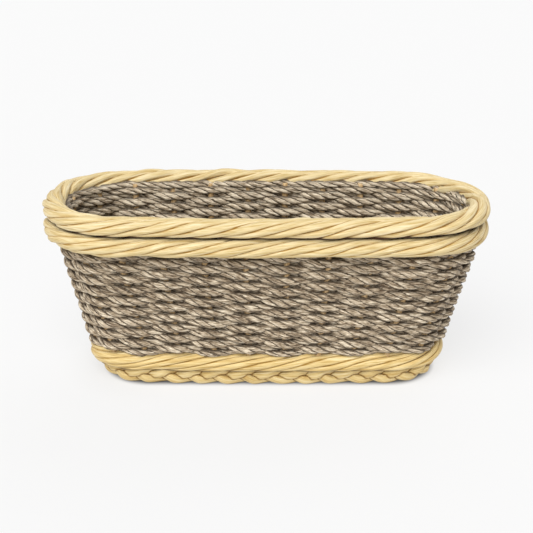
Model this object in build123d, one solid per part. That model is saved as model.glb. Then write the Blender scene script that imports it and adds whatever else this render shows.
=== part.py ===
from build123d import *
from math import acos, atan2, cos, pi, sin, sqrt, tan
import os

os.makedirs("parts", exist_ok=True)

# Oval bread basket. Millimetres, +X along the length, +Z up, origin on the floor under the middle.

# Every level of the basket is a stadium whose long sides bow out by this much.
side_bow = 3.0

# Stakes: bent round rods, each running down one wall, across the base and up the other wall.
stake_count = 24
stakes_per_quarter = stake_count // 4
cross_stakes_per_quarter = 4
stake_diameter = 4.2
stake_tip_z = 133.5
lean_low_z = 28.0
lean_low_half = (139.5, 44.0)
lean_top_z = 104.0
lean_top_half = (158.0, 53.8)
base_bend_radius = 8.0
rim_bend_radius = 30.0

# Weaver: the grey rope, woven in front of one stake and behind the next.
weaver_diameter = 4.5
round_count = 22
first_round_z = 30.6
round_pitch = 4.7
weave_swing = 4.6

# Two rounds lining the inside of the rim: height, then distance inside the stake line.
rim_linings = {
    "rim_lining_round_lower": (134.0, 4.7),
    "rim_lining_round_upper": (138.7, 3.4),
}

# Rim ropes: half-length and half-width of the centre line, height, half thickness, half height.
upper_rope = dict(half=(166.0, 61.8), z=140.0, thick=9.0, tall=8.15)
lower_rope = dict(half=(170.0, 65.8), z=123.4, thick=5.0, tall=7.4)

# Base band: the upset rope that the stakes pass through, and the plaited foot below it.
upset_rope = dict(half=(137.9, 43.2), z=21.4, thick=6.5, tall=6.5)
stake_hole_clearance = 0.1
foot_half = (132.4, 36.3)
foot_width = 10.0
foot_height = 13.6
foot_edge_radius = 3.6

# Base mat: straight weavers over and under the cross rods, beside the long rods.
cross_rod_z = 15.9
rod_layer_gap = 0.1
mat_swing = 4.5
mat_inner_lines = (2.3, 6.9)
mat_outer_lines = (17.3, 21.95, 26.6)
mat_end_gap = 3.0

long_rod_z = cross_rod_z + stake_diameter + rod_layer_gap


def oval_point(half, quarter_share):
    """Point and outward normal in the +X +Y quarter, at a share of the way from side middle to end."""
    a, b = half
    r = b - side_bow
    k = ((a - r) ** 2 - side_bow**2) / (2 * side_bow)
    side_radius = b + k
    side_angle = atan2(a - r, k)
    side_length = side_radius * side_angle
    end_length = r * (pi / 2 - side_angle)
    s = quarter_share * (side_length + end_length)
    if s <= side_length:
        angle = s / side_radius
        point = Vector(side_radius * sin(angle), side_radius * cos(angle) - k)
    else:
        angle = side_angle + (s - side_length) / r
        point = Vector(a - r + r * sin(angle), r * cos(angle))
    return point, Vector(sin(angle), cos(angle))


def oval_wire(half, z):
    """The four tangent arcs of one level."""
    a, b = half
    r = b - side_bow
    k = ((a - r) ** 2 - side_bow**2) / (2 * side_bow)
    side_radius = b + k
    side_angle = atan2(a - r, k)
    px, py = side_radius * sin(side_angle), side_radius * cos(side_angle) - k
    arcs = [
        ThreePointArc((px, -py, z), (a, 0, z), (px, py, z)),
        ThreePointArc((px, py, z), (0, b, z), (-px, py, z)),
        ThreePointArc((-px, py, z), (-a, 0, z), (-px, -py, z)),
        ThreePointArc((-px, -py, z), (0, -b, z), (px, -py, z)),
    ]
    return Wire([arc.edge() for arc in arcs])


def oval_x(half, y):
    """Half-length of an oval at a distance y from the long axis, on its round end."""
    a, b = half
    r = b - side_bow
    return a - r + sqrt(r * r - y * y)


def offset(half, distance):
    return half[0] + distance, half[1] + distance


def ring(section, half, z):
    """Sweep a section, drawn with X outwards, round one level."""
    path = oval_wire(half, z)
    outwards = Vector((path % 0).Y, -(path % 0).X, 0)
    plane = Plane(path @ 0, x_dir=outwards, z_dir=path % 0)
    return sweep(plane * section, path=path).solid()


def biarc(start, start_dir, end, end_dir):
    """Two tangent arcs from one point and direction to another."""
    chord = end - start
    both = start_dir + end_dir
    bend = 2 * (1 - start_dir.dot(end_dir))
    reach = chord.dot(both)
    if bend < 1e-9:
        step = chord.dot(chord) / (2 * reach)
    else:
        step = (sqrt(reach * reach + bend * chord.dot(chord)) - reach) / bend
    middle = (start + end + (start_dir - end_dir) * step) / 2
    first = Edge.make_tangent_arc(start, start_dir, middle)
    second = Edge.make_tangent_arc(middle, first % 1, end)
    return [first, second]


def rope_solid(path, radius):
    """A round solid along a wire."""
    return sweep(Plane(path @ 0, z_dir=path % 0) * Circle(radius), path=path).solid()


class Stake:
    """The straight leaning part of one stake in the +X +Y quarter."""

    def __init__(self, index):
        share = (index + 0.5) / stakes_per_quarter
        self.low, low_normal = oval_point(lean_low_half, share)
        self.top, top_normal = oval_point(lean_top_half, share)
        self.normal = (low_normal + top_normal).normalized()

    def at(self, z):
        share = min((z - lean_low_z) / (lean_top_z - lean_low_z), 1.0)
        point = self.low + (self.top - self.low) * share
        return Vector(point.X, point.Y, z)


stakes = [Stake(i) for i in range(stakes_per_quarter)]


def corner_arc(before, corner, after, radius):
    """Tangent points and arc that round one corner of a path."""
    into = (corner - before).normalized()
    out = (after - corner).normalized()
    reach = radius * tan(acos(into.dot(out)) / 2)
    start = corner - into * reach
    end = corner + out * reach
    return start, Edge.make_tangent_arc(start, into, end), end


def rod_path(stake, rod_z, mirror):
    """Path of a rod from tip to tip: down one wall, across the base, up the wall opposite."""
    foot = stake.at(rod_z)
    knee = stake.at(lean_top_z)
    tip = Vector(knee.X, knee.Y, stake_tip_z)
    points = [tip, knee, foot, mirror(foot), mirror(knee), mirror(tip)]
    radii = [rim_bend_radius, base_bend_radius, base_bend_radius, rim_bend_radius]
    edges = []
    last = tip
    for i, radius in enumerate(radii, start=1):
        start, arc, end = corner_arc(points[i - 1], points[i], points[i + 1], radius)
        edges += [Edge.make_line(last, start), arc]
        last = end
    edges.append(Edge.make_line(last, points[-1]))
    return Wire(edges)


def flip_x(p):
    return Vector(-p.X, p.Y, p.Z)


def flip_y(p):
    return Vector(p.X, -p.Y, p.Z)


def rod_paths():
    """Named paths of the eight cross rods and the four long rods."""
    paths = {}
    cross, long_ = stakes[:cross_stakes_per_quarter], stakes[cross_stakes_per_quarter:]
    for i, stake in enumerate(cross):
        path = rod_path(stake, cross_rod_z, flip_y)
        paths[f"cross_rod_right_{i + 1}"] = path
        paths[f"cross_rod_left_{i + 1}"] = path.mirror(Plane.YZ)
    for i, stake in enumerate(long_):
        path = rod_path(stake, long_rod_z, flip_x)
        paths[f"long_rod_back_{i + 1}"] = path
        paths[f"long_rod_front_{i + 1}"] = path.mirror(Plane.XZ)
    return paths


def stake_ring(z):
    """All stakes at one height, in order round the basket: position and outward normal."""
    quarter = [(stake.at(z), stake.normal) for stake in stakes]
    ordered = []
    for flip, items in (
        ((1, 1), reversed(quarter)),
        ((-1, 1), quarter),
        ((-1, -1), reversed(quarter)),
        ((1, -1), quarter),
    ):
        for p, n in items:
            ordered.append((Vector(p.X * flip[0], p.Y * flip[1], z), Vector(n.X * flip[0], n.Y * flip[1])))
    return ordered


def woven_round(z, starts_outside):
    """One round of weaver: outside one stake, inside the next."""
    points = []
    for i, (p, n) in enumerate(stake_ring(z)):
        side = 1 if (i % 2 == 0) == starts_outside else -1
        points.append((p + n * weave_swing * side, Vector(-n.Y, n.X)))
    edges = []
    for (p, along), (q, next_along) in zip(points, points[1:] + points[:1]):
        edges += biarc(p, along, q, next_along)
    return rope_solid(Wire(edges), weaver_diameter / 2)


def mat_weaver(y, starts_over):
    """One straight base weaver, over one cross rod and under the next."""
    end_x = oval_x(offset(foot_half, -foot_width / 2), y) - mat_end_gap
    rods = [stake.at(cross_rod_z).X for stake in stakes[:cross_stakes_per_quarter]]
    crossings = [-x for x in reversed(rods)] + rods
    points = [Vector(-end_x, y, cross_rod_z)]
    for i, x in enumerate(crossings):
        side = 1 if (i % 2 == 0) == starts_over else -1
        points.append(Vector(x, y, cross_rod_z + mat_swing * side))
    points.append(Vector(end_x, y, cross_rod_z))
    along = Vector(1, 0, 0)
    edges = []
    for p, q in zip(points, points[1:]):
        edges += biarc(p, along, q, along)
    return rope_solid(Wire(edges), weaver_diameter / 2)


def rope_ring(rope):
    return ring(Ellipse(rope["thick"], rope["tall"]), rope["half"], rope["z"])


parts = {}

for name, path in rod_paths().items():
    parts[name] = rope_solid(path, stake_diameter / 2)

for number in range(round_count):
    z = first_round_z + number * round_pitch
    parts[f"weaver_round_{number + 1:02d}"] = woven_round(z, number % 2 == 0)

for name, (z, inset) in rim_linings.items():
    parts[name] = ring(Circle(weaver_diameter / 2), offset(lean_top_half, -inset), z)

parts["rim_rope_upper"] = rope_ring(upper_rope)
parts["rim_rope_lower"] = rope_ring(lower_rope)

upset = rope_ring(upset_rope)
for path in rod_paths().values():
    upset -= rope_solid(path, stake_diameter / 2 + stake_hole_clearance)
parts["upset_rope"] = upset.solid()

foot_section = RectangleRounded(foot_width, foot_height, foot_edge_radius)
parts["foot_plait"] = ring(foot_section, foot_half, foot_height / 2)

mat_lines = sorted([-y for y in mat_inner_lines + mat_outer_lines] + list(mat_inner_lines + mat_outer_lines))
for number, y in enumerate(mat_lines):
    parts[f"base_weaver_{number + 1:02d}"] = mat_weaver(y, number % 2 == 0)

for name, solid in parts.items():
    export_step(solid, f"parts/{name}.step")
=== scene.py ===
import math

import bpy
import numpy as np
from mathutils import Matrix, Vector


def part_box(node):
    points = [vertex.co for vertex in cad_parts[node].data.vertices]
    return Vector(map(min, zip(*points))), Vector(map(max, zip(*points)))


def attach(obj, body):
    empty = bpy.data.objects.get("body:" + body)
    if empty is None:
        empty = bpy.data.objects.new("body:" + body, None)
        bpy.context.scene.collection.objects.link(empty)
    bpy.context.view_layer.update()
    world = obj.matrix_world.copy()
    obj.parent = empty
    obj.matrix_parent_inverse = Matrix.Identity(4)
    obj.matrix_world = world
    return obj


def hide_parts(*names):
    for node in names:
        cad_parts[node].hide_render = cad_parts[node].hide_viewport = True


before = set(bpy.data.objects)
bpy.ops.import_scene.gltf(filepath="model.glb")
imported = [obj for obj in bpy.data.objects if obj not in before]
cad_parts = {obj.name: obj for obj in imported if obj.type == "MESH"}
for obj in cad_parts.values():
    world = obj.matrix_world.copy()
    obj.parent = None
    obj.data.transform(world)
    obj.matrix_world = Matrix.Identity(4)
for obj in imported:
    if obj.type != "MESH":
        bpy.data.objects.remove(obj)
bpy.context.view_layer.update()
MM = 0.001
rng = np.random.default_rng(20)

# ---------------------------------------------------------------- plan of the basket

SIDE_BOW = 3.0 * MM
STAKES = 24
STAKE_R = 2.1 * MM
UPSET_THICK = 6.5 * MM
LEAN_FROM_Z, LEAN_TOP_Z = 24 * MM, 104 * MM
LEAN_RIGHT, LEAN_LEFT = 5.0 * MM, 1.8 * MM


def size_of(node):
    lo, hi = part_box(node)
    return hi - lo


def half_of(node, thick):
    """Half-length and half-width of a ring's centre line, from its box."""
    size = size_of(node)
    return np.array([size.x / 2 - thick, size.y / 2 - thick])


def mid_z(node):
    lo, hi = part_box(node)
    return (lo.z + hi.z) / 2


LOW_Z = mid_z("upset_rope")
LOW_HALF = half_of("upset_rope", UPSET_THICK)
TOP_HALF = np.array([size_of("long_rod_back_2").x, size_of("cross_rod_right_1").y]) / 2 - STAKE_R


def stake_half(z):
    """Half-length and half-width of the stake line at a height."""
    share = np.clip((z - LOW_Z) / (LEAN_TOP_Z - LOW_Z), -1, 1)
    return LOW_HALF + (TOP_HALF - LOW_HALF) * share


def oval(half, share):
    """Points, outward normals and length of an oval, at shares (0 to 1) of the way round.
    It starts at the right end and goes anticlockwise."""
    a, b = half
    r = b - SIDE_BOW
    k = ((a - r) ** 2 - SIDE_BOW**2) / (2 * SIDE_BOW)
    side_r, side_angle = b + k, math.atan2(a - r, k)
    side, end = side_r * side_angle, r * (math.pi / 2 - side_angle)
    s = (np.asarray(share, float) % 1.0) * 4
    quarter = np.floor(s).astype(int)
    part = s - quarter
    part = np.where(quarter % 2 == 0, 1 - part, part) * (side + end)
    on_side = part <= side
    angle = np.where(on_side, part / side_r, side_angle + (part - side) / r)
    x = np.where(on_side, side_r * np.sin(angle), a - r + r * np.sin(angle))
    y = np.where(on_side, side_r * np.cos(angle) - k, r * np.cos(angle))
    sx = np.where((quarter == 0) | (quarter == 3), 1, -1)
    sy = np.where(quarter < 2, 1, -1)
    points = np.stack([x * sx, y * sy], 1)
    normals = np.stack([np.sin(angle) * sx, np.cos(angle) * sy], 1)
    return points, normals, 4 * (side + end)


def lean(points):
    """Both ends lean out further up the wall, the right one more than the left."""
    up = np.clip((points[:, 2] - LEAN_FROM_Z) / (LEAN_TOP_Z - LEAN_FROM_Z), 0, 1)
    along = np.clip(points[:, 0] / TOP_HALF[0], -1, 1)
    points = points.copy()
    points[:, 0] += np.where(along > 0, LEAN_RIGHT, LEAN_LEFT) * along * np.abs(along) * up
    return points


def ring_path(half, z, step):
    """Closed level path: points, outward and upward directions, distances along, length."""
    length = oval(half, [0])[2]
    n = int(length / step)
    share = np.arange(n) / n
    p, out, _ = oval(half, share)
    zeros = np.zeros(n)
    points = np.column_stack([p, zeros + z])
    outward = np.column_stack([out, zeros])
    upward = np.column_stack([zeros, zeros, zeros + 1])
    return points, outward, upward, share * length, length


# ---------------------------------------------------------------- mesh making

MARKS = ("tone", "edge_shade", "inside", "gap")
WAVES_SUMMED, WAVE_SUM_SCALE = 5, 1.8
WAVE_SPREAD = (0.5, 1.6)
WEAKEST_WAVE = 0.4
# A strand's waves of unevenness to each turn round its rope, and how much less its middle wanders.
TURN_WAVES, SIZE_WAVES = 1.5, 2
MIDDLE_ROUGH = 0.5


def wander(share, waves, amount):
    """A smooth closed random curve: a sum of whole waves."""
    total = np.zeros_like(share)
    for _ in range(WAVES_SUMMED):
        n = max(1, int(waves * rng.uniform(*WAVE_SPREAD)))
        total = total + np.cos(2 * math.pi * (n * share + rng.random())) * rng.uniform(WEAKEST_WAVE, 1)
    return amount * total / WAVE_SUM_SCALE


def tube_quads(steps, around, closed):
    """Vertex numbers of a tube's faces, four each."""
    i = np.arange(steps if closed else steps - 1)[:, None]
    j = np.arange(around)[None, :]
    i2, j2 = (i + 1) % steps, (j + 1) % around
    corners = (i * around + j, i * around + j2, i2 * around + j2, i2 * around + j)
    return np.stack(np.broadcast_arrays(*corners), -1).reshape(-1, 4)


def tube_uvs(along, around, closed):
    """Corner coordinates of a tube's faces: distance along, and share of the way round."""
    rows = len(along) if closed else len(along) - 1
    step = (along[-1] - along[0]) / (len(along) - 1)
    u0 = along[:rows, None] + np.zeros((1, around))
    v0 = np.arange(around)[None, :] / around + np.zeros((rows, 1))
    u1, v1 = u0 + step, v0 + 1 / around
    corners = [np.stack(uv, -1) for uv in ((u0, v0), (u0, v1), (u1, v1), (u1, v0))]
    return np.stack(corners, 2).reshape(-1, 2)


def tube_ends(grid, base):
    """Middle points and triangles (their last corner given twice) that close a tube's two ends."""
    steps, around = grid.shape[:2]
    middles, faces = [], []
    for number, (end, order) in enumerate(((0, 1), (steps - 1, -1))):
        middles.append(grid[end].mean(0)[None, :])
        centre = base + steps * around + number
        ring = base + end * around + np.arange(around)
        triangle = np.stack([np.roll(ring, -1), ring, np.full(around, centre)], 1)[:, ::order]
        faces.append(np.column_stack([triangle, triangle[:, 2]]))
    return middles, faces


def build_mesh(name, verts, faces, uvs, marks):
    """A smooth mesh. A face whose last two corners are the same is a triangle."""
    triangle = faces[:, 2] == faces[:, 3]
    keep = np.ones(faces.shape, bool)
    keep[triangle, 3] = False
    sizes = np.where(triangle, 3, 4)
    starts = np.concatenate([[0], np.cumsum(sizes)[:-1]])
    corners = faces[keep]
    mesh = bpy.data.meshes.new(name)
    mesh.vertices.add(len(verts))
    mesh.vertices.foreach_set("co", verts.astype(np.float32).ravel())
    mesh.loops.add(len(corners))
    mesh.loops.foreach_set("vertex_index", corners.astype(np.int32))
    mesh.polygons.add(len(faces))
    mesh.polygons.foreach_set("loop_start", starts.astype(np.int32))
    mesh.polygons.foreach_set("loop_total", sizes.astype(np.int32))
    uv_layer = mesh.uv_layers.new(name="UVMap")
    uv_layer.data.foreach_set("uv", uvs.reshape(-1, 4, 2)[keep].astype(np.float32).ravel())
    for key, value in zip(MARKS, marks):
        layer = mesh.attributes.new(key, "FLOAT", "POINT")
        layer.data.foreach_set("value", value.astype(np.float32))
    mesh.update(calc_edges=True)
    mesh.polygons.foreach_set("use_smooth", np.ones(len(faces), bool))
    mesh.validate()
    return mesh


def add_piece(name, shells, closed, material, node_name):
    """One piece from tube shells, each (grid[steps, around, 3], along[steps], tone, edge_shade, inside,
    gap).
    tone is a strand's own random tone, edge_shade how near each point is to a groove beside its rope, where
    painted shade falls, inside how far it is on the basket's inside, and gap how far from the strands next
    to it."""
    verts, faces, uvs, values = [], [], [], []
    base = 0
    for grid, along, *marks in shells:
        steps, around = grid.shape[:2]
        verts.append(grid.reshape(-1, 3))
        faces.append(tube_quads(steps, around, closed) + base)
        uvs.append(tube_uvs(along, around, closed))
        values.append(np.stack([(mark + np.zeros((steps, around))).ravel() for mark in marks]))
        base += steps * around
        if not closed:
            middles, caps = tube_ends(grid, base - steps * around)
            verts += middles
            faces += caps
            uvs.append(np.zeros((2 * around * 4, 2)))
            values.append(np.zeros((len(marks), 2)))
            base += 2
    marks = np.concatenate(values, 1)
    mesh = build_mesh(name, np.concatenate(verts), np.concatenate(faces), np.concatenate(uvs), marks)
    mesh.materials.append(material)
    piece = bpy.data.objects.new(name, mesh)
    bpy.context.scene.collection.objects.link(piece)
    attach(piece, "root")
    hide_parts(node_name)


def place(path, x, y):
    """World points at outward and upward distances from a path; x and y are [steps, around]."""
    points, outward, upward = path[:3]
    return points[:, None] + outward[:, None] * x[..., None] + upward[:, None] * y[..., None]


def ridges(s, length, around, cell, amount):
    """Lengthwise ridges: a random height for each line round a strand, changing over each cell of length."""
    n = max(3, int(length / cell))
    heights = rng.normal(0, amount, (n, around))
    at = s / length * n
    i = np.floor(at).astype(int) % n
    share = (at - np.floor(at))[:, None]
    share = share * share * (3 - 2 * share)
    return 1 + heights[i] * (1 - share) + heights[(i + 1) % n] * share


def section(around, flat):
    """Cosine and sine round a strand's section; flat below 1 squares the section's shoulders."""
    theta = 2 * math.pi * np.arange(around) / around
    c, q = np.cos(theta), np.sin(theta)
    return np.sign(c) * np.abs(c) ** flat, np.sign(q) * np.abs(q) ** flat


def beyond(x, y, centre, reach, flat, turn=0.0):
    """How far points of a rope's section lie outside a strand, as a share of the strand's own reach."""
    dx, dy = x - centre[0][:, None], y - centre[1][:, None]
    c, q = np.reshape(np.cos(turn), (-1, 1)), np.reshape(np.sin(turn), (-1, 1))
    out = np.abs(dx * c + dy * q) / np.reshape(reach[0], (-1, 1))
    side = np.abs(dy * c - dx * q) / np.reshape(reach[1], (-1, 1))
    return (out ** (2 / flat) + side ** (2 / flat)) ** (flat / 2) - 1


def laid_strands(path, size, count, lay, hand, around, strand, flat, rough, ridge):
    """Strands laid round a rope path: mesh grid, distance along, tone, each point's place in the rope's
    section and its distance from the strands next to it.
    size is the rope's reach outwards and upwards, which may change along the path. strand is a strand's
    reach outwards and sideways, as shares of the rope's. rough is how unevenly they lie."""
    thick, tall = size
    s, length = path[3:]
    turns = round(length / lay)
    share = s / length
    deep, wide = strand
    c0, q0 = section(around, flat)
    lie = []
    for k in range(count):
        turn = hand * 2 * math.pi * turns * share + 2 * math.pi * k / count
        turn = turn + wander(share, turns * TURN_WAVES, rough)
        fullness = 1 + wander(share, turns * SIZE_WAVES, rough)
        centre = 1 - deep + wander(share, turns * SIZE_WAVES, rough * MIDDLE_ROUGH)
        lie.append((turn, fullness, centre))
    strands = []
    for k, (turn, fullness, centre) in enumerate(lie):
        skin = ridges(s, length, around, *ridge)
        radial = centre[:, None] + deep * fullness[:, None] * c0[None] * skin
        across = wide * fullness[:, None] * q0[None] * skin
        c, q = np.cos(turn)[:, None], np.sin(turn)[:, None]
        x = radial * c - across * q
        y = radial * q + across * c
        grid = place(path, x * np.reshape(thick, (-1, 1)), y * np.reshape(tall, (-1, 1)))
        gap = np.min([
            beyond(x, y, (far * np.cos(a), far * np.sin(a)), (deep * full, wide * full), flat, a)
            for a, full, far in (lie[k - 1], lie[(k + 1) % count])
        ], 0)
        strands.append((grid, s, rng.random(), x, y, gap))
    return strands


# ---------------------------------------------------------------- materials

# How far a strand's own random tone, and the painted light on the basket's inside, move its colour along the
# stops.
TONE_SHIFT = 0.08
INSIDE_LIGHT_SHIFT = 0.08
FINE_NOISE = dict(detail=2.0, roughness=0.6)
BROAD_NOISE = dict(detail=1.0, roughness=0.5)
BROAD_SCALE, BROAD_SHARE = 0.4, 0.35
# How far apart in the noise the fibres of two strands are read.
SEED_STEP = 37.0
SPECULAR = 0.2


def srgb(r, g, b):
    def linear(v):
        v /= 255
        return v / 12.92 if v <= 0.04045 else ((v + 0.055) / 1.055) ** 2.4
    return linear(r), linear(g), linear(b)


def new_material(name):
    material = bpy.data.materials.new(name)
    material.use_nodes = True
    tree = material.node_tree
    tree.nodes.clear()
    out = tree.nodes.new("ShaderNodeOutputMaterial")
    bsdf = tree.nodes.new("ShaderNodeBsdfPrincipled")
    tree.links.new(bsdf.outputs[0], out.inputs[0])
    return material, tree, bsdf


def add_node(tree, kind, inputs=(), **settings):
    """A node. Its inputs are (socket, value) pairs, a value being a number, a colour or a node's output."""
    new = tree.nodes.new(kind)
    for key, value in settings.items():
        setattr(new, key, value)
    for socket, value in inputs:
        if isinstance(value, bpy.types.NodeSocket):
            tree.links.new(value, new.inputs[socket])
        else:
            new.inputs[socket].default_value = value
    return new


def maths(tree, operation, *inputs):
    return add_node(tree, "ShaderNodeMath", enumerate(inputs), operation=operation).outputs[0]


def attribute(tree, name):
    return add_node(tree, "ShaderNodeAttribute", attribute_name=name).outputs["Fac"]


def noise(tree, where, scale, detail, roughness):
    inputs = [("Vector", where), ("Scale", scale), ("Detail", detail), ("Roughness", roughness)]
    return add_node(tree, "ShaderNodeTexNoise", inputs).outputs["Fac"]


def map_range(tree, value, start, end, at_start=0.0, at_end=1.0, smooth="LINEAR"):
    inputs = enumerate([value, start, end, at_start, at_end])
    return add_node(tree, "ShaderNodeMapRange", inputs, interpolation_type=smooth).outputs[0]


def blend(tree, share, first, second):
    """The mix of two colours."""
    inputs = [(0, share), (6, first), (7, second)]
    return add_node(tree, "ShaderNodeMix", inputs, data_type="RGBA").outputs[2]


def ramp(tree, share, stops):
    new = add_node(tree, "ShaderNodeValToRGB", [(0, share)])
    elements = new.color_ramp.elements
    while len(elements) < len(stops):
        elements.new(0.5)
    for element, (at, colour) in zip(elements, stops):
        element.position = at
        element.color = (*colour, 1)
    return new.outputs[0]


def fibre_height(tree, cell, slant):
    """The fibres of a strand: fine streaks along it over broader ones, different on each strand."""
    around, along = cell
    uv = add_node(tree, "ShaderNodeUVMap", uv_map="UVMap")
    split = add_node(tree, "ShaderNodeSeparateXYZ", [(0, uv.outputs[0])])
    length, turn = split.outputs[0], split.outputs[1]
    seed = maths(tree, "MULTIPLY", attribute(tree, "tone"), SEED_STEP)
    angle = maths(tree, "MULTIPLY", maths(tree, "MULTIPLY_ADD", length, slant, turn), 2 * math.pi)
    u = maths(tree, "MULTIPLY_ADD", length, along / around, seed)
    axes = enumerate([maths(tree, "COSINE", angle), maths(tree, "SINE", angle), u])
    where = add_node(tree, "ShaderNodeCombineXYZ", axes).outputs[0]
    fine = noise(tree, where, around, **FINE_NOISE)
    broad = noise(tree, where, around * BROAD_SCALE, **BROAD_NOISE)
    return maths(tree, "ADD", fine, maths(tree, "MULTIPLY_ADD", broad, BROAD_SHARE, -BROAD_SHARE / 2))


def fibre_material(name, stops, cell, slant, relief, roughness, sheen=0.0, crease_shade=None, edge_shade=None):
    """Fibres along each strand, with painted light making them lighter on the basket's inside.
    cell is a fibre's frequency round the strand, and along it per metre; slant its turns per metre; relief
    the strength and depth of the bump. crease_shade is the painted shade in the grooves between strands: its
    colour, the gaps at which it starts and ends, and how ragged it is. edge_shade is the colour, start, end
    and amount of the painted shade towards a groove beside the rope."""
    material, tree, bsdf = new_material(name)
    fibre = fibre_height(tree, cell, slant)
    toned = maths(tree, "MULTIPLY_ADD", attribute(tree, "tone"), TONE_SHIFT, fibre)
    inside_light = maths(tree, "MULTIPLY_ADD", attribute(tree, "inside"), INSIDE_LIGHT_SHIFT, -TONE_SHIFT / 2)
    colour = ramp(tree, maths(tree, "ADD", toned, inside_light), stops)
    if crease_shade:
        dark, start, end, ragged = crease_shade
        gap = maths(tree, "MULTIPLY_ADD", fibre, ragged, attribute(tree, "gap"))
        clear = map_range(tree, gap, start + ragged / 2, end + ragged / 2)
        colour = blend(tree, clear, (*dark, 1), colour)
    if edge_shade:
        dark, start, end, amount = edge_shade
        shade = map_range(tree, attribute(tree, "edge_shade"), start, end, at_end=amount)
        colour = blend(tree, shade, colour, (*dark, 1))
    tree.links.new(colour, bsdf.inputs["Base Color"])
    strength, depth = relief
    inputs = [("Strength", strength), ("Distance", depth), ("Height", fibre)]
    bump = add_node(tree, "ShaderNodeBump", inputs).outputs[0]
    tree.links.new(bump, bsdf.inputs["Normal"])
    bsdf.inputs["Roughness"].default_value = roughness
    bsdf.inputs["Specular IOR Level"].default_value = SPECULAR
    bsdf.inputs["Sheen Weight"].default_value = sheen
    return material


def tones(places, *colours):
    """Colour stops: a place on the fibres' scale and a colour each."""
    return [(at, srgb(*colour)) for at, colour in zip(places, colours)]


HUSK_PLACES = (0.32, 0.45, 0.56, 0.70)
HUSK_TONES = tones(HUSK_PLACES, (195, 167, 109), (212, 190, 139), (221, 201, 153), (232, 216, 176))
BASE_TONES = tones(HUSK_PLACES, (194, 161, 96), (213, 185, 124), (222, 197, 139), (232, 212, 164))
GREY_TONES = tones((0.32, 0.44, 0.56, 0.68), (88, 71, 54), (151, 133, 109), (193, 176, 151), (230, 217, 193))
CANE_TONES = tones((0.3, 0.5, 0.7), (176, 142, 98), (202, 170, 124), (220, 192, 150))
# Colours of painted shade: the grey rope's grooves, the seam between the rim ropes, the base's low edges,
# and the creases between strands.
GREY_SHADE, RIM_SEAM_SHADE, BASE_EDGE_SHADE = srgb(60, 48, 36), srgb(58, 28, 3), srgb(92, 60, 16)
RIM_CREASE_SHADE, BASE_CREASE_SHADE, PLAIT_CREASE_SHADE = srgb(166, 120, 34), srgb(152, 114, 42), srgb(132, 94, 34)

# The grey rope takes painted shade in the grooves between its plies and at its top and bottom edges.
grey = fibre_material(
    "grey_rope", GREY_TONES, (2.8, 200), -40, (0.7, 0.8 * MM), 0.7, 0.06,
    crease_shade=(GREY_SHADE, -0.62, 0.24, 0.9), edge_shade=(GREY_SHADE, 0.56, 0.94, 0.85))
HUSK_FIBRE = dict(cell=(3.2, 60), relief=(0.45, 0.6 * MM), roughness=0.6, sheen=0.08)
# Painted shade darkens the seam between the rim ropes.
husk = fibre_material(
    "husk_strand", HUSK_TONES, slant=9, **HUSK_FIBRE,
    crease_shade=(RIM_CREASE_SHADE, 0.05, 0.42, 0.8), edge_shade=(RIM_SEAM_SHADE, 0.46, 0.58, 0.98))
# Painted shade darkens the upset rope's bottom edge and the foot plait's bottom edge.
husk_base = fibre_material(
    "husk_base", BASE_TONES, slant=9, **HUSK_FIBRE,
    crease_shade=(BASE_CREASE_SHADE, 0.06, 0.42, 0.75), edge_shade=(BASE_EDGE_SHADE, 0.48, 0.66, 0.75))
husk_plaited = fibre_material(
    "husk_plait", BASE_TONES, slant=4, **HUSK_FIBRE,
    crease_shade=(PLAIT_CREASE_SHADE, 0.0, 0.34, 0.3), edge_shade=(BASE_EDGE_SHADE, 0.74, 0.92, 0.95))
cane = fibre_material("cane_rod", CANE_TONES, (4.0, 60), 0, (0.3, 0.3 * MM), 0.55)

# ---------------------------------------------------------------- husk ropes

UPPER_SIZE, LOWER_SIZE, UPSET_SIZE = (9.0 * MM, 8.2 * MM), (6.6 * MM, 8.0 * MM), (7.0 * MM, 7.8 * MM)
UPPER_LIFT, LOWER_LIFT, UPSET_LIFT = -0.1 * MM, 0.4 * MM, 0.8 * MM
RIM_STRANDS = dict(count=6, lay=128 * MM, strand=(0.37, 0.375))
UPSET_STRANDS = dict(count=8, lay=175 * MM, strand=(0.33, 0.32))
HUSK_STEP = 1.5 * MM
HUSK_AROUND, HUSK_FLAT = 28, 0.78
HUSK_RIDGE = (18 * MM, 0.018)
SIDE_POWER = 6
# The band of painted shade at a rope's edge narrows over the crown of each strand.
PIT_GAP_SHARE, PIT_GAP_MOST = 0.40, 0.5
# The painted shade in the creases fades towards the top of a rope, from one share of its height over
# another, and at its left end.
CREASE_FADE, FADE_FROM, FADE_OVER = 0.22, 0.3, 0.6
END_FADE, END_FADE_POWER = 0.25, 8
RIGHT_DROP_POWER, LEFT_DROP_POWER = 4, 6
LEFT_TILT_SHARE = 0.3
# The swollen corner: its place in shares of the half-length and half-width, its spread and its direction.
CORNER_PLACE = np.array([-0.93, 0.6])
CORNER_SPREAD = 0.12
CORNER_WAY = np.array([-0.8, 0.6])


def uneven(points, right_drop=0, back_tilt=0, corner_swell=0, left_drop=0):
    """Hand-made unevenness of a husk rope: its right or left end hangs lower, its back tilts down to the
    right and its left back corner swells."""
    p = points / np.abs(points).max(0)
    points = points.copy()
    points[:, 2] -= right_drop * np.clip(p[:, 0], 0, 1) ** RIGHT_DROP_POWER
    points[:, 2] -= left_drop * np.clip(-p[:, 0], 0, 1) ** LEFT_DROP_POWER
    points[:, 2] -= back_tilt * np.maximum(p[:, 0], p[:, 0] * LEFT_TILT_SHARE) * np.clip(p[:, 1], 0, 1)
    swell = corner_swell * np.exp(-((p[:, :2] - CORNER_PLACE) ** 2).sum(1) / CORNER_SPREAD)
    points[:, :2] += swell[:, None] * CORNER_WAY
    return points


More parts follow.
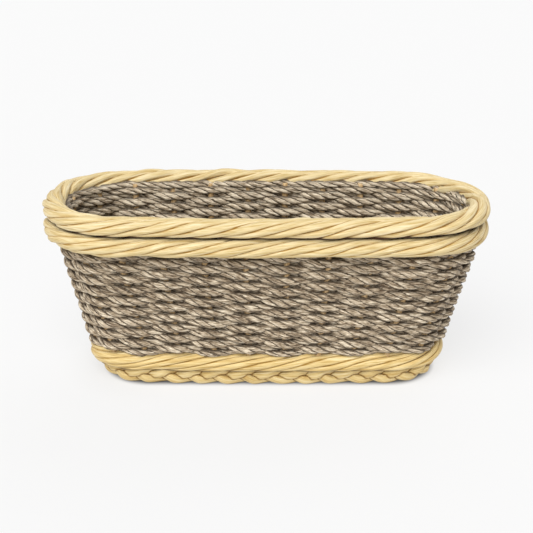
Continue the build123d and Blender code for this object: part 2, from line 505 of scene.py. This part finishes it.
def husk_rope(name, half, lift, size, strands, edge, material, rough=0.12, slim=0, rise=0, **unevenness):
    """A husk rope round the basket. half is the half-length and half-width of its centre line.
    edge says which edge takes painted shade, 1 the top or -1 the bottom, and how much narrower its band of
    painted shade is.
    Along the basket's sides the rope is slimmer and lies higher than at its ends, by slim and rise."""
    points, *rest = ring_path(half, mid_z(name) + lift, HUSK_STEP)
    along = points[:, 0] / half[0]
    side = 1 - along**SIDE_POWER
    points[:, 2] += rise * side
    path = (uneven(points, **unevenness), *rest)
    thick, tall = size
    laid = laid_strands(
        path, (thick, tall - slim * side), hand=1, around=HUSK_AROUND, flat=HUSK_FLAT, rough=rough,
        ridge=HUSK_RIDGE, **strands)
    # The painted crease shade lessens towards the rope's left end.
    left_end_fade = END_FADE * (np.clip(-along, 0, 1) ** END_FADE_POWER)[:, None]
    shells = []
    for grid, s, tone, x, y, gap in laid:
        # Painted shade at the rope's darkened edge, narrower over each strand's crown.
        edge_shade = y * edge[0] - edge[1] - PIT_GAP_SHARE * np.clip(gap, 0, PIT_GAP_MOST)
        faded = gap + CREASE_FADE * np.clip((y - FADE_FROM) / FADE_OVER, 0, 1) + left_end_fade
        shells.append((grid, s, tone, edge_shade, 0, faded))
    add_piece(name + "_look", shells, True, material, name)


husk_rope(
    "rim_rope_upper", half_of("rim_rope_upper", UPPER_SIZE[0]), UPPER_LIFT, UPPER_SIZE, RIM_STRANDS,
    (-1, 0), husk, slim=0.6 * MM, rise=0.6 * MM, back_tilt=1.5 * MM, corner_swell=3.6 * MM)
husk_rope(
    "rim_rope_lower", half_of("rim_rope_lower", LOWER_SIZE[0]), LOWER_LIFT, LOWER_SIZE, RIM_STRANDS,
    (1, 0.3), husk, slim=0.9 * MM, rise=1.8 * MM, right_drop=1.6 * MM)
husk_rope(
    "upset_rope", LOW_HALF, UPSET_LIFT, UPSET_SIZE, UPSET_STRANDS,
    (-1, 0), husk_base, rough=0.13, right_drop=2.5 * MM, left_drop=3.0 * MM)

# ---------------------------------------------------------------- foot plait

PLAIT_STEP, PLAIT_PITCH = 1.2 * MM, 62.8 * MM
PLAIT_COUNT = 3
PLAIT_AROUND, PLAIT_FLAT = 26, 0.85
PLAIT_TURN_ROUGH, PLAIT_SIZE_ROUGH = 0.12, 0.09
PLAIT_SWING, PLAIT_STRAND = (2.2 * MM, 3.8 * MM), (2.8 * MM, 3.8 * MM)
PLAIT_Z = 7.9 * MM
PLAIT_TILT = 0.25
FOOT_INSET = 2.0 * MM
FOOT_SHIFT, FOOT_TUCK, FOOT_TUCK_POWER = 1.4 * MM, 2.8 * MM, 5


def plait(name):
    """Three strands that cross over each other in turn, standing on edge round a ring.
    The ring is shifted to the right and tucked in at both ends."""
    half = half_of(name, FOOT_INSET)
    path = ring_path(half, PLAIT_Z, PLAIT_STEP)
    end = path[0][:, 0] / half[0]
    path[0][:, 0] += FOOT_SHIFT - FOOT_TUCK * end * np.abs(end) ** FOOT_TUCK_POWER
    s, length = path[3:]
    turns = round(length / PLAIT_PITCH)
    c0, q0 = section(PLAIT_AROUND, PLAIT_FLAT)
    lie = []
    for k in range(PLAIT_COUNT):
        t = 2 * math.pi * (turns * s / length + k / PLAIT_COUNT)
        t = t + wander(s / length, turns, PLAIT_TURN_ROUGH)
        fullness = 1 + wander(s / length, turns * SIZE_WAVES, PLAIT_SIZE_ROUGH)
        slope = np.arctan2(PLAIT_SWING[1] * np.cos(t) * 2 * math.pi * turns / length, 1)
        centre = PLAIT_SWING[0] * np.sin(2 * t), PLAIT_SWING[1] * np.sin(t)
        lie.append((centre, (PLAIT_STRAND[0] * fullness, PLAIT_STRAND[1] * fullness / np.cos(slope))))
    shells = []
    for k, (centre, reach) in enumerate(lie):
        skin = ridges(s, length, PLAIT_AROUND, *HUSK_RIDGE)
        x = centre[0][:, None] + reach[0][:, None] * c0[None] * skin
        y = centre[1][:, None] + reach[1][:, None] * q0[None] * skin
        beside = lie[k - 1], lie[(k + 1) % PLAIT_COUNT]
        gap = np.min([beyond(x, y, *other, PLAIT_FLAT) for other in beside], 0)
        # Painted shade darkens the foot towards its bottom edge, where it meets the floor.
        edge_shade = -y / (PLAIT_SWING[1] + PLAIT_STRAND[1])
        shells.append((place(path, x + PLAIT_TILT * y, y), s, rng.random(), edge_shade, 0, gap))
    add_piece(name + "_look", shells, True, husk_plaited, name)


plait("foot_plait")

# ---------------------------------------------------------------- grey rope

ROPE_THICK = 3.2 * MM
GREY_PLIES = dict(count=3, lay=29 * MM, strand=(0.56, 0.56))
GREY_STEP = 1.1 * MM
GREY_AROUND, GREY_FLAT = 16, 0.9
GREY_ROUGH = 0.08
GREY_RIDGE = (5 * MM, 0.06)
# Painted light brightens a ply over this depth inside the stakes.
INSIDE_LIGHT_DEPTH = 3 * MM
CORE, CORE_AROUND = 0.78, 8


def grey_rope(name, path, size, closed, offset=0):
    """Three plies round a core darkened with painted shade. offset is how far outside the stakes the rope's
    middle is. Each ply takes painted shade by how far it faces out of the rope, in place of its gap."""
    thick, tall = size
    plies = laid_strands(
        path, size, hand=-1, around=GREY_AROUND, flat=GREY_FLAT, rough=GREY_ROUGH, ridge=GREY_RIDGE,
        **GREY_PLIES)
    out = np.reshape(offset, (-1, 1))
    facing = section(GREY_AROUND, 1)[0][None]
    # Each ply takes painted shade at its rope's top and bottom edges, where rows meet, and painted light on
    # the basket's inside.
    shells = [
        (grid, s, tone, np.abs(y), np.clip(-(out + x * thick) / INSIDE_LIGHT_DEPTH, 0, 1), facing)
        for grid, s, tone, x, y, gap in plies
    ]
    c0, q0 = section(CORE_AROUND, 1)
    core = place(path, CORE * thick * c0[None], CORE * np.reshape(tall, (-1, 1)) * q0[None])
    # The core takes full painted shade, so it shows dark between the plies.
    shells.append((core, path[3], 0.5, 1, 0, 1))
    add_piece(name + "_look", shells, closed, grey, name)


FULLNESS_POWER = 1.3
HIGH_WAVES, HIGH_ROUGH = 30, 0.05
LEVEL_WAVES, LEVEL_ROUGH = 20, 0.2 * MM
DIP_POWER = 6


def woven_ring(name, parity, swing, tall, fuller, inset=0, lift=0, dip=0):
    """A round that passes outside one stake and inside the next, fullest where it passes a stake.
    It is lifted, or dips at the basket's ends, by the amounts given."""
    z = mid_z(name)
    points, outward, upward, s, length = ring_path(stake_half(z) - inset, z, GREY_STEP)
    share = s / length
    wave = swing * np.cos(math.pi * (STAKES * share - 0.5) + math.pi * parity)
    points = lean(points + outward * wave[:, None])
    high = tall + fuller * np.abs(wave / swing) ** FULLNESS_POWER
    high = high * (1 + wander(share, HIGH_WAVES, HIGH_ROUGH))
    end = np.abs(points[:, 0]) / np.abs(points[:, 0]).max()
    points[:, 2] += wander(share, LEVEL_WAVES, LEVEL_ROUGH) + lift - dip * end**DIP_POWER
    grey_rope(name, (points, outward, upward, s, length), (ROPE_THICK, high), True, wave - inset)


def nodes_named(start):
    return sorted(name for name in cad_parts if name.startswith(start))


# The lowest round is thinner and dips most, and each round above it dips less.
END_DIP, DIP_KEPT = 3 * MM, 0.6
LOWEST_ROUND = dict(swing=3.0 * MM, tall=2.4 * MM, fuller=0.6 * MM, lift=0.9 * MM)
WALL_ROUND = dict(swing=3.2 * MM, tall=3.2 * MM, fuller=0.75 * MM)
LINING_ROUND = dict(swing=1.8 * MM, tall=2.7 * MM, fuller=0.6 * MM, inset=0.5 * MM)

for i, round_name in enumerate(nodes_named("weaver_round_")):
    woven_ring(round_name, i % 2, dip=END_DIP * DIP_KEPT**i, **(WALL_ROUND if i else LOWEST_ROUND))
for i, round_name in enumerate(nodes_named("rim_lining_round_")):
    woven_ring(round_name, i % 2, **LINING_ROUND)

WEAVER_TUCK = 5 * MM
WEAVER_R = 2.25 * MM
WEAVER_SIZE = (2.4 * MM, 2.3 * MM)
CROSSINGS = sorted((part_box(name)[0].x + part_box(name)[1].x) / 2 for name in nodes_named("cross_rod_"))


def base_weaver(name, parity):
    """A straight weaver over one cross rod and under the next, its ends tucked into the upset rope."""
    lo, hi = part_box(name)
    left, right = lo.x - WEAVER_TUCK, hi.x + WEAVER_TUCK
    x = np.arange(left, right, GREY_STEP)
    knots = np.concatenate([[left], CROSSINGS, [right]])
    level = np.concatenate([[0], [(-1) ** (j + parity) for j in range(len(CROSSINGS))], [0]])
    wave = np.sin(np.interp(x, knots, level) * math.pi / 2)
    swing = (hi.z - lo.z) / 2 - WEAVER_R
    zeros = np.zeros(len(x))
    path = (
        np.column_stack([x, zeros + (lo.y + hi.y) / 2, mid_z(name) + wave * swing]),
        np.column_stack([zeros, zeros - 1, zeros]),
        np.column_stack([zeros, zeros, zeros + 1]),
        x - x[0],
        x[-1] - x[0],
    )
    grey_rope(name, path, WEAVER_SIZE, False)


for i, weaver_name in enumerate(nodes_named("base_weaver_")):
    base_weaver(weaver_name, i)

# ---------------------------------------------------------------- cane rods

ROD_LOOK_R = 2.4 * MM
ROD_STEP = 2 * MM
TIP_Z = 139.5 * MM
BEND = 9 * MM
BEND_POINTS, FLOOR_POINTS = 8, 60
ROD_AROUND = 16
KNOT_WAVES, KNOT_ROUGH = 12, 0.03


def stake_at(index, z):
    p = oval(stake_half(z), [(index + 0.5) / STAKES])[0][0]
    return np.array([p[0], p[1], z])


def rod_path(first, second, base_z):
    """Down one wall, across the base and up the other wall, with rounded bends."""
    levels = np.arange(TIP_Z, base_z + BEND, -ROD_STEP)
    down = np.array([stake_at(first, z) for z in levels])
    up = np.array([stake_at(second, z) for z in levels])[::-1]
    near, far = stake_at(first, base_z), stake_at(second, base_z)
    across = (far - near) / np.linalg.norm(far - near)
    share = np.linspace(0, 1, BEND_POINTS)[:, None]
    bends = []
    for wall, corner, inwards in ((down[-1], near, across), (up[0], far, -across)):
        floor_side = corner + inwards * BEND
        bends.append((1 - share) ** 2 * wall + 2 * share * (1 - share) * corner + share**2 * floor_side)
    share = np.linspace(0, 1, FLOOR_POINTS)[1:-1, None]
    flat = bends[0][-1] + (bends[1][-1] - bends[0][-1]) * share
    return lean(np.concatenate([down[:-1], bends[0], flat, bends[1][::-1], up[1:]]))


def rod_look(name, first, second):
    """A rod between two stakes, given by their numbers anticlockwise from the right end."""
    points = rod_path(first, second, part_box(name)[0].z + STAKE_R)
    along = np.gradient(points, axis=0)
    along /= np.linalg.norm(along, axis=1)[:, None]
    across = stake_at(second, TIP_Z) - stake_at(first, TIP_Z)
    side = np.cross(across / np.linalg.norm(across), [0, 0, 1])
    out = np.cross(along, side)
    steps = np.linalg.norm(np.diff(points, axis=0), axis=1)
    s = np.concatenate([[0], np.cumsum(steps)])
    knots = 1 + wander(s / s[-1], KNOT_WAVES, KNOT_ROUGH)
    c0, q0 = section(ROD_AROUND, 1.0)
    reach = ROD_LOOK_R * knots[:, None]
    sides = np.broadcast_to(side, points.shape)
    grid = place((points, out, sides), reach * c0[None], reach * q0[None])
    add_piece(name + "_look", [(grid, s, rng.random(), 0, 0, 1)], False, cane, name)


# Cross rods are numbered outwards from the basket's middle, long rods inwards from its sides.
for k in (1, 2, 3, 4):
    rod_look(f"cross_rod_right_{k}", 6 - k, 17 + k)
    rod_look(f"cross_rod_left_{k}", 5 + k, 18 - k)
for k in (1, 2):
    rod_look(f"long_rod_back_{k}", 2 - k, 9 + k)
    rod_look(f"long_rod_front_{k}", 21 + k, 14 - k)

# ---------------------------------------------------------------- floor

FLOOR_REACH = 30.0
FLOOR_GREY, FLOOR_GLOW, FLOOR_ROUGH = 0.22, 0.695, 0.9
# The floor glows less near a line under the basket, of this middle and half-length: a painted contact
# shadow.
UNDER_MID_X, UNDER_HALF = 2.2 * MM, 95 * MM
CONTACT_SHADOW_GLOW, UNDER_NEAR, UNDER_FAR = 0.05, 34 * MM, 43 * MM
# A faint painted shadow deepens towards the left, and ends between these distances from the same line.
SHADE_FROM_X, SHADE_TO_X, SHADE = -60 * MM, -130 * MM, 0.03
SHADE_NEAR, SHADE_FAR = 43 * MM, 78 * MM


def floor_material():
    """A pale floor that glows a little, but not under the basket, where a painted contact shadow darkens it,
    and has a faint painted shadow at the left.
    """
    material, tree, bsdf = new_material("floor_white")
    where = add_node(tree, "ShaderNodeTexCoord").outputs["Object"]
    split = add_node(tree, "ShaderNodeSeparateXYZ", [(0, where)])
    x, y = split.outputs[0], split.outputs[1]
    beside = maths(tree, "ABSOLUTE", maths(tree, "SUBTRACT", x, UNDER_MID_X))
    past_end = maths(tree, "MAXIMUM", maths(tree, "SUBTRACT", beside, UNDER_HALF), 0.0)
    corner = add_node(tree, "ShaderNodeCombineXYZ", [(0, past_end), (1, y)]).outputs[0]
    away = add_node(tree, "ShaderNodeVectorMath", [(0, corner)], operation="LENGTH").outputs["Value"]
    shadowed_glow = map_range(tree, away, UNDER_NEAR, UNDER_FAR, CONTACT_SHADOW_GLOW, FLOOR_GLOW, "SMOOTHSTEP")
    aside = map_range(tree, x, SHADE_FROM_X, SHADE_TO_X, 0.0, SHADE, "SMOOTHSTEP")
    faint = map_range(tree, away, SHADE_NEAR, SHADE_FAR, 1.0, 0.0, "SMOOTHSTEP")
    dimmed = maths(tree, "SUBTRACT", shadowed_glow, maths(tree, "MULTIPLY", aside, faint))
    tree.links.new(dimmed, bsdf.inputs["Emission Strength"])
    bsdf.inputs["Emission Color"].default_value = (1, 1, 1, 1)
    bsdf.inputs["Base Color"].default_value = (FLOOR_GREY, FLOOR_GREY, FLOOR_GREY, 1)
    bsdf.inputs["Roughness"].default_value = FLOOR_ROUGH
    bsdf.inputs["Specular IOR Level"].default_value = 0.0
    return material


corners = [(sx * FLOOR_REACH, sy * FLOOR_REACH, 0) for sx, sy in ((-1, -1), (1, -1), (1, 1), (-1, 1))]
floor_mesh = bpy.data.meshes.new("floor")
floor_mesh.from_pydata(corners, [], [(0, 1, 2, 3)])
floor_mesh.materials.append(floor_material())
floor = bpy.data.objects.new("floor", floor_mesh)
bpy.context.scene.collection.objects.link(floor)

# ---------------------------------------------------------------- light and camera

WORLD_LIGHT, WORLD_SEEN = 0.32, 0.96
CAMERA_TILT = 0.38
CAMERA_DISTANCE = 0.890
CAMERA_AIM = Vector((0, 0, 0.0858))
SENSOR_WIDTH, FOCAL_LENGTH = 36, 74.769

world = bpy.data.worlds.new("studio")
world.use_nodes = True
studio = world.node_tree
background = studio.nodes["Background"]
background.inputs[0].default_value = (1, 1, 1, 1)
seen = add_node(studio, "ShaderNodeLightPath").outputs["Is Camera Ray"]
studio.links.new(map_range(studio, seen, 0.0, 1.0, WORLD_LIGHT, WORLD_SEEN), background.inputs[1])
bpy.context.scene.world = world


def soft_light(name, direction, spread, power):
    """A broad far light from a direction, its spread in degrees."""
    data = bpy.data.lights.new(name, "SUN")
    data.angle = math.radians(spread)
    data.energy = power
    light = bpy.data.objects.new(name, data)
    light.rotation_euler = (-Vector(direction)).to_track_quat("-Z", "Y").to_euler()
    bpy.context.scene.collection.objects.link(light)


soft_light("key", direction=(-0.25, -0.8, 0.92), spread=60, power=3.2)
soft_light("fill", direction=(0.4, 0.9, 0.6), spread=60, power=0.8)

camera_data = bpy.data.cameras.new("camera")
camera_data.sensor_width = SENSOR_WIDTH
camera_data.lens = FOCAL_LENGTH
camera = bpy.data.objects.new("camera", camera_data)
forward = Vector((0, math.cos(CAMERA_TILT), -math.sin(CAMERA_TILT)))
camera.location = CAMERA_AIM - forward * CAMERA_DISTANCE
camera.rotation_euler = forward.to_track_quat("-Z", "Y").to_euler()
bpy.context.scene.collection.objects.link(camera)
bpy.context.scene.camera = camera
bpy.context.scene.view_settings.view_transform = "Standard"
